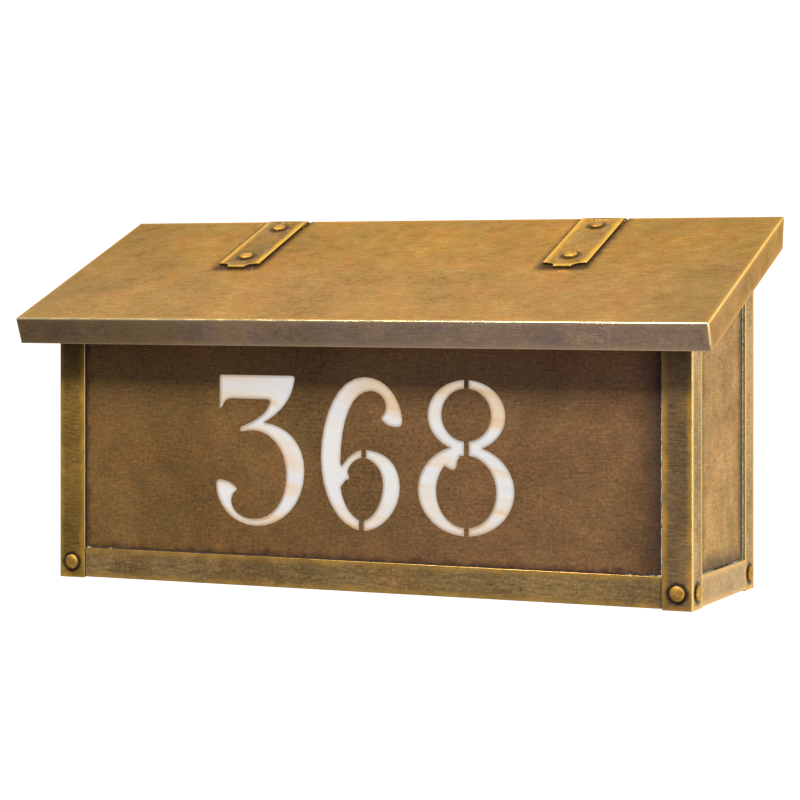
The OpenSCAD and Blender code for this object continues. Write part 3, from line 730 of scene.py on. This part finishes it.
looks = {
    "lid_sheet": lidMaterial(),
    "front_sheet": sheetMaterial(
        "frontBrass", (-openingX, frontFace, openingZ), (openingX, far, far), patina["front"],
        spin=0.0, sootAndShade=0.75, band=5 * mm, rightBand=21 * mm, leftTones=patina["frontLeft"]),
    "side_sheet": sheetMaterial(
        "sideBrass", (-far, sideFront, openingZ), (sideFace, sideBack, far), patina["side"],
        spin=math.radians(90), sootAndShade=0.8, band=12 * mm),
    "post_strip": postMaterial(),
    "rail_strip": railMaterial(),
    "strap": strapMaterial(),
    "strap_rivet": plainBrass("rivetBrass", patina["rivet"], 1.1, 0.6),
    "back_sheet": backMaterial(),
    "hinge_leaf": plainBrass("leafBrass", patina["strap"]),
    "hinge_pin": plainBrass("pinBrass", patina["pin"]),
    "clip_strip": plainBrass("clipBrass", patina["rail"]),
    "opal_glass": glassMaterial(),
    "seam": seamMaterial(),
}
looks["frame_rivet"] = looks["strap_rivet"]


# puts a finished shape into the scene as a piece of the given body
def addPiece(name, shape, body, slotName, look=None, replaced=()):
    mesh = bpy.data.meshes.new(name)
    shape.to_mesh(mesh)
    shape.free()
    piece = bpy.data.objects.new(name, mesh)
    bpy.context.scene.collection.objects.link(piece)
    mesh.materials.append(looks[look or slotName])
    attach(piece, body)
    if replaced:
        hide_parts(*replaced)


def vertsIn(geometry):
    return [g for g in geometry if isinstance(g, bmesh.types.BMVert)]


def edgesIn(geometry):
    return [g for g in geometry if isinstance(g, bmesh.types.BMEdge)]


def facesIn(geometry):
    return [g for g in geometry if isinstance(g, bmesh.types.BMFace)]


def boxShape(low, high):
    shape = bmesh.new()
    size = Vector(high) - Vector(low)
    middle = (Vector(high) + Vector(low)) / 2
    bmesh.ops.create_cube(shape, size=1, matrix=Matrix.Translation(middle) @ Matrix.Diagonal((*size, 1)))
    return shape


sharpFrom = 0.52    # radians, just under 30 degrees


# rounds the given edges, or all the sharp ones, and marks how worn the rounding is and how strong the
# painted highlight on it is
def softenEdges(shape, width, segments=2, edges=None, wornAndHighlight=0.6):
    mark = shape.loops.layers.float.get("bareAndHighlightEdge") or shape.loops.layers.float.new("bareAndHighlightEdge")
    chosen = edges or [e for e in shape.edges if len(e.link_faces) == 2 and e.calc_face_angle() > sharpFrom]
    rounded = bmesh.ops.bevel(
        shape, geom=chosen, offset=width, offset_type="OFFSET", segments=segments, profile=0.5,
        affect="EDGES", material=-1, clamp_overlap=True)
    for face in rounded["faces"]:
        face.smooth = True
        for corner in face.loops:
            corner[mark] = wornAndHighlight


def flipX(shape):
    bmesh.ops.scale(shape, vec=(-1, 1, 1), verts=shape.verts)
    bmesh.ops.recalc_face_normals(shape, faces=shape.faces)


def joinShape(whole, added):
    scratch = bpy.data.meshes.new("scratch")
    added.to_mesh(scratch)
    added.free()
    whole.from_mesh(scratch)
    bpy.data.meshes.remove(scratch)


# a copy of a cad node's mesh with its triangles joined into clean faces
def copyOf(node):
    shape = bmesh.new()
    shape.from_mesh(frame["nodes"][node].data)
    bmesh.ops.remove_doubles(shape, verts=shape.verts, dist=1e-6)
    bmesh.ops.dissolve_limit(shape, angle_limit=0.02, verts=shape.verts, edges=shape.edges)
    return shape


# cuts through a shape, and drops what is ahead of the cut if drop is set
def cutAt(shape, point, ahead, drop=False):
    everything = shape.verts[:] + shape.edges[:] + shape.faces[:]
    return bmesh.ops.bisect_plane(shape, geom=everything, plane_co=point, plane_no=ahead, clear_outer=drop)


print("lid")


def makeLid():
    shape = boxShape(lidLow, lidHigh)
    openSides = [f for f in shape.faces if f.normal.z < -0.5 or f.normal.y > 0.5]
    bmesh.ops.delete(shape, geom=openSides, context="FACES")
    for vert in shape.verts:
        if vert.co.y > 0 and vert.co.z < 0:
            vert.co.y -= lid["lipRake"]
    folds = [e for e in shape.edges if len(e.link_faces) == 2]
    softenEdges(shape, lid["foldRadius"], 4, folds, wornAndHighlight=1.0)
    # slots at the back edge for the two barrels
    for side in (-1, 1):
        for end in (-1, 1):
            cutAt(shape, (side * strap["x"] + end * lid["notchHalf"], 0, 0), (1, 0, 0))
    cutAt(shape, (0, -lid["notchAhead"], 0), (0, 1, 0))
    slots = []
    for face in shape.faces:
        middle = face.calc_center_median()
        inSlot = abs(abs(middle.x) - strap["x"]) < lid["notchHalf"]
        if inSlot and middle.y > -lid["notchAhead"] and middle.z > 0:
            slots.append(face)
    bmesh.ops.delete(shape, geom=slots, context="FACES")
    bmesh.ops.recalc_face_normals(shape, faces=shape.faces)
    top = max(shape.faces, key=lambda f: f.calc_area())
    if top.normal.z < 0:
        bmesh.ops.reverse_faces(shape, faces=shape.faces)
    bmesh.ops.solidify(shape, geom=shape.faces[:], thickness=lid["thickness"])
    bmesh.ops.transform(shape, matrix=onLid, verts=shape.verts)
    addPiece("lidSheet", shape, "lid", "lid_sheet", replaced=["lid"])


makeLid()

print("straps")
strapEdge = {"inner": 0.12 * mm, "outer": 0.2 * mm, "rise": 0.3 * mm}    # the worn upper edge, in two steps


def makeStrap(hand):
    # the flat plate grows from its own outline
    shape = copyOf(hand + "_strap")
    shape.transform(onLid.inverted())
    shape.normal_update()
    underTop = strap["top"] - 0.1 * mm
    extra = [f for f in shape.faces if f.normal.z < 0.99 or f.calc_center_median().z < underTop]
    bmesh.ops.delete(shape, geom=extra, context="FACES")
    inner, outer, rise = strapEdge["inner"], strapEdge["outer"], strapEdge["rise"]
    cutAt(shape, (0, inner + outer - strap["barrelAhead"], 0), (0, 1, 0), drop=True)
    bmesh.ops.translate(shape, vec=(0, 0, -strap["thickness"]), verts=shape.verts)
    upper = facesIn(bmesh.ops.extrude_face_region(shape, geom=shape.faces[:])["geom"])
    raised = list({v for f in upper for v in f.verts})
    bmesh.ops.translate(shape, vec=(0, 0, strap["thickness"] - rise), verts=raised)
    bmesh.ops.recalc_face_normals(shape, faces=shape.faces)
    # the rim is marked bare: worn metal and a painted highlight
    mark = shape.loops.layers.float.new("bareAndHighlightEdge")
    for width, height in ((inner, outer), (outer, rise - outer)):
        rim = bmesh.ops.inset_region(
            shape, faces=upper, thickness=width, depth=height, use_even_offset=True)
        for face in rim["faces"]:
            for corner in face.loops:
                corner[mark] = 1.0
    shape.transform(onLid)
    # the knuckles keep the shape they turn in
    knuckles = copyOf(hand + "_strap")
    point = onLid @ Vector((0, -strap["barrelAhead"], 0))
    cut = cutAt(knuckles, point, onLid.to_3x3() @ Vector((0, -1, 0)), drop=True)
    bmesh.ops.contextual_create(knuckles, geom=edgesIn(cut["geom_cut"]))
    joinShape(shape, knuckles)
    addPiece(hand + "Strap", shape, "lid", "strap", replaced=[hand + "_strap"])


for word in ("left", "right"):
    makeStrap(word)

print("posts and rails")
frameEdge = {
    "fold": 0.9 * mm,            # radius of the corner of a front post
    "post": 0.3 * mm,
    "rail": (0.2 * mm, 0.4),     # radius, and how worn it is and how strong its painted highlight is
    "frontRail": (0.16 * mm, 0.3),
    "topGap": 0.05 * mm,
}


# an angle drawn in plan, raised, and cut to the slope of the lid
def makePost(name, hand, replaced, outerY, legY):
    shape = bmesh.new()
    outerX = box["halfWidth"]
    toward = 1 if legY > outerY else -1
    innerX = outerX - box["stripThickness"]
    innerY = outerY + toward * box["stripThickness"]
    plan = [
        (outerX, outerY), (outerX, legY), (innerX, legY),
        (innerX, innerY), (openingX, innerY), (openingX, outerY),
    ]
    foot = shape.faces.new([shape.verts.new((x, y, box["feetZ"])) for x, y in plan])
    raised = bmesh.ops.extrude_face_region(shape, geom=[foot])["geom"]
    for vert in vertsIn(raised):
        vert.co.z = wallTopZ(vert.co.y) - frameEdge["topGap"]
    bmesh.ops.recalc_face_normals(shape, faces=shape.faces)
    outer = Vector((outerX, outerY))
    corner = [e for e in shape.edges if all((v.co.xy - outer).length < 1e-6 for v in e.verts)]
    softenEdges(shape, frameEdge["fold"] if toward > 0 else frameEdge["post"], 3, corner, wornAndHighlight=1.0)
    softenEdges(shape, frameEdge["post"])
    if hand < 0:
        flipX(shape)
    addPiece(name, shape, "box", "post_strip", replaced=[replaced])


for hand, word in ((-1, "left"), (1, "right")):
    makePost(f"{word}FrontPost", hand, f"front_{word}_post", box["frontY"], sideFront)
    makePost(f"{word}BackPost", hand, f"back_{word}_post", plateY, sideBack)
    shape = boxShape(
        (sideFace, sideFront + box["seam"], box["railZ"]),
        (box["halfWidth"], sideBack - box["seam"], openingZ))
    softenEdges(shape, frameEdge["rail"][0], wornAndHighlight=frameEdge["rail"][1])
    if hand < 0:
        flipX(shape)
    addPiece(f"{word}Rail", shape, "box", "rail_strip", replaced=[f"{word}_rail"])
shape = boxShape(
    (-openingX + box["seam"], box["frontY"], box["railZ"]), (openingX - box["seam"], frontFace, openingZ))
softenEdges(shape, frameEdge["frontRail"][0], wornAndHighlight=frameEdge["frontRail"][1])
addPiece("frontRail", shape, "box", "rail_strip", replaced=["front_rail"])

print("rivets")
rivetForm = {
    "domeSteps": 7,
    "domePower": 0.45,           # below 1 the head is fuller than half a ball
    "tailRim": ((0.94, 0.7), (0.75, 1.0)),    # shares of the tail's radius and height
    "around": 32,
    "hammered": 0.05 * mm,
    "dents": 700,                # per metre
}


# one rivet turned about z, with a domed head above zero, and its shank and hammered tail below
def rivetShape(head, grip):
    radius, height = head
    tailRadius, tailHeight = rivet["tail"]
    steps = rivetForm["domeSteps"]
    angles = [math.pi / 2 * step / steps for step in range(steps + 1)]
    profile = [(radius * math.sin(a), height * math.cos(a) ** rivetForm["domePower"]) for a in angles]
    profile += [(rivet["shank"], 0), (rivet["shank"], -grip), (tailRadius, -grip)]
    profile += [(tailRadius * wide, -grip - tailHeight * deep) for wide, deep in rivetForm["tailRim"]]
    profile += [(0, -grip - tailHeight)]
    shape = bmesh.new()
    line = [shape.verts.new((x, 0, z)) for x, z in profile]
    edges = [shape.edges.new(pair) for pair in zip(line, line[1:])]
    bmesh.ops.spin(shape, geom=line + edges, cent=(0, 0, 0), axis=(0, 0, 1), angle=math.tau,
                   steps=rivetForm["around"], use_merge=True)
    bmesh.ops.remove_doubles(shape, verts=shape.verts, dist=1e-7)
    bmesh.ops.recalc_face_normals(shape, faces=shape.faces)
    for face in shape.faces:
        face.smooth = True
    return shape


# hammers the head a little out of true, each rivet its own way
def handFinish(shape, seed):
    for vert in shape.verts:
        if vert.co.z > 0:
            dent = noise.noise(vert.co * rivetForm["dents"] + Vector((seed, 0, 0)))
            vert.co += Vector((0, 0, 1)) * rivetForm["hammered"] * dent


def makeRivets(name, places, head, grip, body, slotName, replaced):
    whole = bmesh.new()
    for count, spot in enumerate(places):
        shape = rivetShape(head, grip)
        handFinish(shape, 3.7 * count + len(name))
        shape.transform(spot)
        joinShape(whole, shape)
    addPiece(name, whole, body, slotName, replaced=[replaced])


def frameRivets(name, places, replaced):
    makeRivets(name, places, rivet["frameHead"], rivet["frameGrip"], "box", "frame_rivet", replaced)


rivetX = box["halfWidth"] - rivet["inset"]
faceFront = Matrix.Rotation(math.radians(90), 4, "X")
frontSpots = [
    Matrix.Translation((side * rivetX, box["frontY"], rivet["height"])) @ faceFront for side in (-1, 1)]
frameRivets("frontRivets", frontSpots, "front_rivets")
for hand, word in ((-1, "left"), (1, "right")):
    faceSide = Matrix.Rotation(math.radians(90 * hand), 4, "Y")
    sideSpots = [
        Matrix.Translation((hand * box["halfWidth"], y, rivet["height"])) @ faceSide
        for y in (box["frontY"] + rivet["inset"], box["backY"] - rivet["inset"])]
    frameRivets(f"{word}Rivets", sideSpots, f"{word}_rivets")
    strapSpots = [
        onLid @ Matrix.Translation((hand * strap["x"], -ahead, strap["top"])) for ahead in strap["rivets"]]
    makeRivets(f"{word}StrapRivets", strapSpots, rivet["strapHead"], rivet["strapGrip"],
               "lid", "strap_rivet", f"{word}_strap_rivets")

print("soldered seams")
seam = {
    "size": 0.6 * mm,
    "wideSize": 1.05 * mm,       # of the one by the right front post
    "pitch": 1.2 * mm,
    "roughness": 0.25,
    "waves": (300, 1100),        # per metre
    "thinnest": 0.4,             # share of the size
    "topGap": 1 * mm,
}


# a thin ragged fillet of solder and patina in the corner that first and second look out of; where it is not
# green it is dark solder and painted shade
# crust says how green the fillet is, from 0 to 1, at a share of its length
def makeSeam(name, start, end, first, second, crust, size):
    start, end, first, second = map(Vector, (start, end, first, second))
    run = end - start
    count = max(2, int(run.length / seam["pitch"]))
    shape = bmesh.new()
    face = shape.faces.new([shape.verts.new(start + step * size) for step in (Vector(), first, second)])
    for step in range(count):
        grown = bmesh.ops.extrude_face_region(shape, geom=[face])["geom"]
        if step:
            bmesh.ops.delete(shape, geom=[face], context="FACES_ONLY")
        bmesh.ops.translate(shape, vec=run / count, verts=vertsIn(grown))
        face = facesIn(grown)[0]
    layer = shape.verts.layers.float.new("crust")
    for vert in shape.verts:
        share = (vert.co - start).dot(run) / run.length_squared
        onLine = start + run * share
        rough = 1 + seam["roughness"] * sum(noise.noise(vert.co * wave) for wave in seam["waves"])
        vert[layer] = crust(share)
        vert.co = onLine + (vert.co - onLine) * max(seam["thinnest"], rough)
    bmesh.ops.recalc_face_normals(shape, faces=shape.faces)
    for face in shape.faces:
        face.smooth = True
    addPiece(name, shape, "box", None, look="seam")


# a crust that is the same all along, or greener towards both ends
def crustOf(middle, atEnds=0.0, power=1):
    return lambda share: middle + atEnds * abs(2 * share - 1) ** power


topFront = wallTopZ(frontFace) - seam["topGap"]
makeSeam("rightFrontSeam", (openingX, frontFace, openingZ), (openingX, frontFace, topFront),
         (-1, 0, 0), (0, -1, 0), crustOf(1.0), seam["wideSize"])
makeSeam("leftFrontSeam", (-openingX, frontFace, openingZ), (-openingX, frontFace, topFront),
         (1, 0, 0), (0, -1, 0), lambda share: max(0.0, 0.2 - share), seam["size"])
makeSeam("lowFrontSeam", (-openingX, frontFace, openingZ), (openingX, frontFace, openingZ),
         (0, 0, 1), (0, -1, 0), crustOf(0.05, 0.4, 3), seam["size"])
for hand, word in ((-1, "left"), (1, "right")):
    lowFore = (hand * sideFace, sideFront, openingZ)
    lowAft = (hand * sideFace, sideBack, openingZ)
    topFore = (hand * sideFace, sideFront, wallTopZ(sideFront) - seam["topGap"])
    topAft = (hand * sideFace, sideBack, wallTopZ(sideBack) - seam["topGap"])
    outward = (hand, 0, 0)
    makeSeam(f"{word}ForeSeam", lowFore, topFore, (0, 1, 0), outward, crustOf(0.0), seam["size"])
    makeSeam(f"{word}AftSeam", lowAft, topAft, (0, -1, 0), outward, crustOf(1.0), seam["size"])
    makeSeam(f"{word}LowSeam", lowFore, lowAft, (0, 0, 1), outward, crustOf(0.35, 0.35), seam["size"])

print("glass")
pane = {
    "cell": 0.6 * mm,            # of the grid that carries the shading
    "shade": 1.9 * mm,           # width of the painted shade rim beside the brass
    "pitch": 0.5 * mm,           # between the points taken along the numerals' outlines
}


# points along the outlines of the numerals on the sheet's front face, between low and high
def outlinePoints(low, high):
    sheet = copyOf("front_panel")
    points = []
    for edge in sheet.edges:
        a, b = (vert.co for vert in edge.verts)
        onFace = abs(a.y - frontFace) < 1e-5 and abs(b.y - frontFace) < 1e-5
        inside = low.x < a.x < high.x and low.z < a.z < high.z
        if onFace and inside and any(abs(face.normal.y) < 0.5 for face in edge.link_faces):
            steps = 1 + int(edge.calc_length() / pane["pitch"])
            points += [a.lerp(b, step / steps) for step in range(steps + 1)]
    sheet.free()
    return points


# the opal pane; each point of its face knows how near it is to the brass around the numerals, for a painted
# shade beside it
def makeGlass():
    low, high = map(Vector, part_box("number_glass"))
    size = high - low
    shape = bmesh.new()
    across, up = (int(side / pane["cell"]) for side in (size.x, size.z))
    bmesh.ops.create_grid(shape, x_segments=across, y_segments=up, size=0.5)
    bmesh.ops.scale(shape, vec=(size.x, size.z, 1), verts=shape.verts)
    bmesh.ops.rotate(shape, matrix=Matrix.Rotation(math.radians(90), 3, "X"), verts=shape.verts)
    bmesh.ops.translate(
        shape, vec=((low.x + high.x) / 2, low.y, (low.z + high.z) / 2), verts=shape.verts)
    rim = [e for e in shape.edges if e.is_boundary]
    drawn = bmesh.ops.extrude_edge_only(shape, edges=rim)["geom"]
    bmesh.ops.translate(shape, vec=(0, size.y, 0), verts=vertsIn(drawn))
    bmesh.ops.contextual_create(shape, geom=edgesIn(drawn))
    bmesh.ops.recalc_face_normals(shape, faces=shape.faces)
    points = outlinePoints(low, high)
    tree = kdtree.KDTree(len(points))
    for count, point in enumerate(points):
        tree.insert(point, count)
    tree.balance()
    layer = shape.verts.layers.float.new("paintedRimShade")
    for vert in shape.verts:
        away = tree.find(Vector((vert.co.x, frontFace, vert.co.z)))[2]
        isFace = vert.co.y < low.y + 0.1 * mm
        vert[layer] = max(0.0, 1 - away / pane["shade"]) if isFace else 0.0
    addPiece("numberGlass", shape, "box", "opal_glass", replaced=["number_glass"])


makeGlass()

print("kept parts")
slotOf = {row["node"]: row["material_slot"] for row in frame["record"]["subparts"]}
for node, part in frame["nodes"].items():
    part.data.materials.clear()
    part.data.materials.append(looks[slotOf[node]])

print("stage, light and camera")
stage = {
    "floorZ": -0.62,
    "size": 12.0,
    "white": (0.93, 0.93, 0.93, 1),
    "roughness": 0.9,
    "glow": 0.8,
}
light = {
    "front": (0.055, 0.07, 0.14, 1),     # the room ahead of the box is dim and cool
    "behind": (1.05, 1.0, 0.8, 1),
    "lean": 0.3,                         # the bright side lies behind and a little to the right
    "toBehind": (-0.4, 0.8),
    "below": (0.8, 0.74, 0.72, 1),       # pale floor, except far to the left
    "toBelow": (-0.35, -0.8),
    "toRight": (-0.62, -0.34),
    "backdrop": (1.2, 1.2, 1.2, 1),
}
lamps = {
    "topLight": {
        "spot": (-0.2, -0.95, 1.3), "aim": (0, -0.12, 0), "width": 0.5, "height": 0.5, "power": 35},
    "rightLight": {
        "spot": (1.5, -0.7, -0.1), "aim": (0.18, -0.06, 0), "width": 0.3, "height": 1.7, "power": 15},
}
view = {
    "spot": (0.5596, -1.3058, 0.0681),
    "turn": math.radians(24.224),
    "lens": 112.04,
    "sensor": 36,
    "shift": -0.14934,
}


def makeFloor():
    shape = bmesh.new()
    down = Matrix.Translation((0, 0, stage["floorZ"]))
    bmesh.ops.create_grid(shape, x_segments=1, y_segments=1, size=stage["size"], matrix=down)
    mesh = bpy.data.meshes.new("floor")
    shape.to_mesh(mesh)
    shape.free()
    floor = bpy.data.objects.new("floor", mesh)
    bpy.context.scene.collection.objects.link(floor)
    floor.visible_diffuse = False
    floor.visible_glossy = False
    material, tree, shader, spot = newMaterial("paleFloor")
    shader.inputs["Base Color"].default_value = stage["white"]
    shader.inputs["Roughness"].default_value = stage["roughness"]
    shader.inputs["Emission Color"].default_value = stage["white"]
    shader.inputs["Emission Strength"].default_value = stage["glow"]
    mesh.materials.append(material)


# the room that the metal reflects, and a plain white backdrop for the camera
def makeRoom():
    world = bpy.data.worlds.new("studio")
    bpy.context.scene.world = world
    world.use_nodes = True
    tree = world.node_tree
    x, y, z = axes(tree, tree.nodes.new("ShaderNodeTexCoord").outputs["Generated"])
    toBehind = fade(tree, plus(tree, y, times(tree, x, light["lean"])), *light["toBehind"])
    room = blend(tree, toBehind, light["front"], light["behind"])
    toBelow = times(tree, fade(tree, z, *light["toBelow"]), fade(tree, x, *light["toRight"]))
    room = blend(tree, toBelow, room, light["below"])
    seen = tree.nodes.new("ShaderNodeLightPath").outputs["Is Camera Ray"]
    feed(tree, tree.nodes["Background"].inputs["Color"], blend(tree, seen, room, light["backdrop"]))


def softLight(name, spot, aim, width, height, power):
    lamp = bpy.data.lights.new(name, "AREA")
    lamp.shape = "RECTANGLE"
    lamp.size = width
    lamp.size_y = height
    lamp.energy = power
    holder = bpy.data.objects.new(name, lamp)
    bpy.context.scene.collection.objects.link(holder)
    holder.location = spot
    holder.rotation_euler = (Vector(aim) - Vector(spot)).to_track_quat("-Z", "Y").to_euler()


def makeCamera():
    camera = bpy.data.cameras.new("camera")
    camera.lens = view["lens"]
    camera.sensor_width = view["sensor"]
    camera.shift_y = view["shift"]
    viewer = bpy.data.objects.new("camera", camera)
    bpy.context.scene.collection.objects.link(viewer)
    viewer.location = view["spot"]
    viewer.rotation_euler = (math.radians(90), 0, view["turn"])
    bpy.context.scene.camera = viewer


makeFloor()
makeRoom()
for name, values in lamps.items():
    softLight(name, **values)
makeCamera()
bpy.context.scene.view_settings.view_transform = "Standard"
